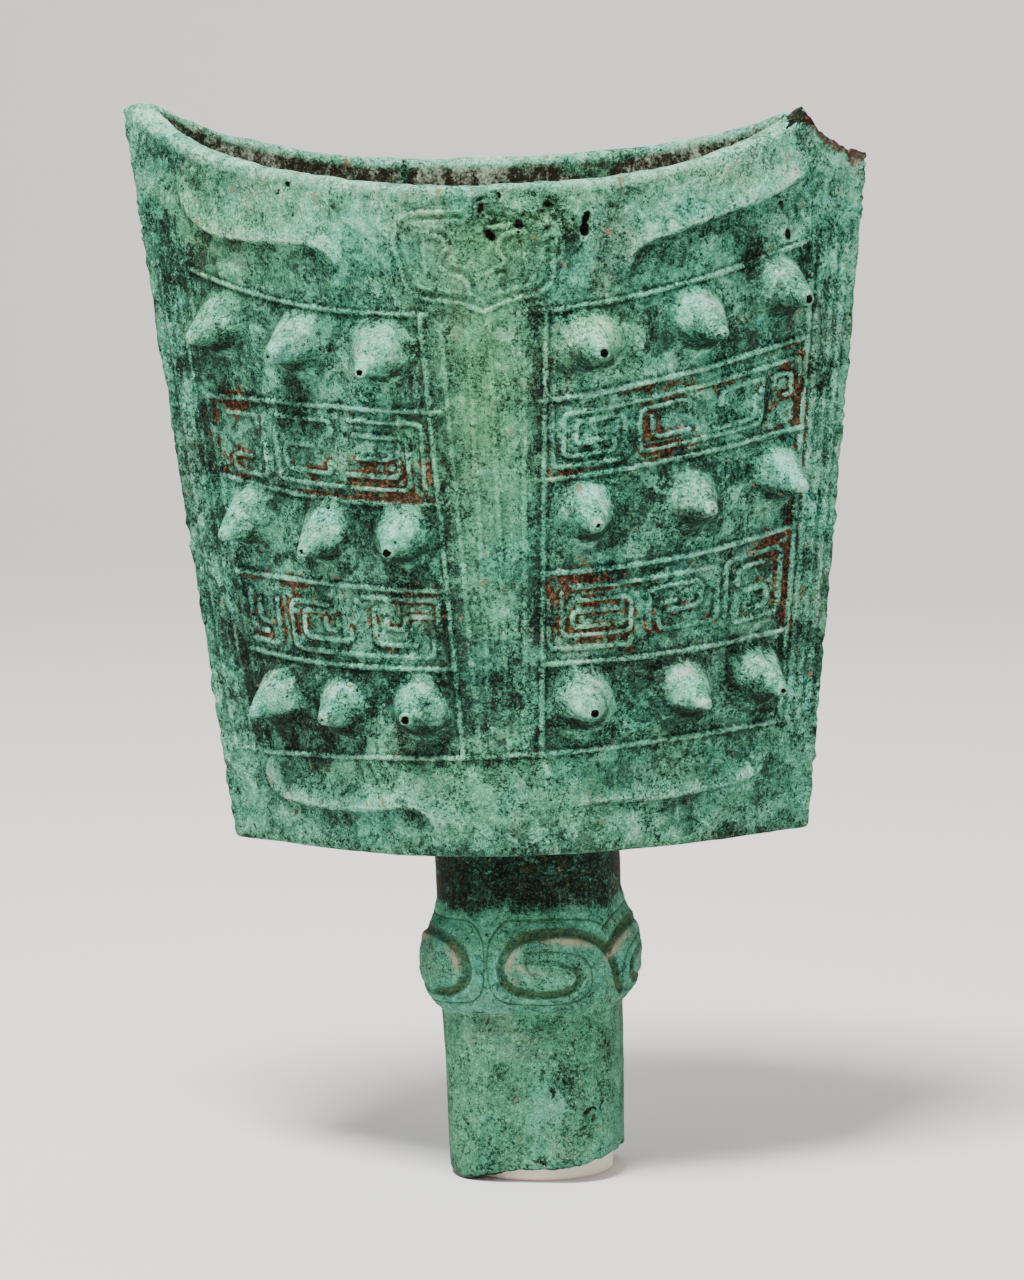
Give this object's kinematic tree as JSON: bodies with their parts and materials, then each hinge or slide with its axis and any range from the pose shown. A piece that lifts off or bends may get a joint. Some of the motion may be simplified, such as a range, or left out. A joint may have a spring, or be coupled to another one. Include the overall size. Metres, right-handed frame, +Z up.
{
  "type": "nao bell",
  "caption": "Ancient cast bronze bell held mouth upwards on a hollow shank, with conical bosses and scroll bands, standing on a round linen-covered plug.",
  "frame": {"origin": "centre of the support plug's underside", "axes": "+Z up along the bell's height, -Y towards the front face, +X to the right seen from the front"},
  "size_m": [0.2627, 0.1623, 0.3797],
  "materials": {
    "bronze": "old cast bronze under a granular green patina with rust-brown crusts in the grooves",
    "linen": "fine plain-weave linen, cream"
  },
  "bodies": {
    "root": {"bell": "bronze", "support_plug": "linen"}
  },
  "joints": []
}
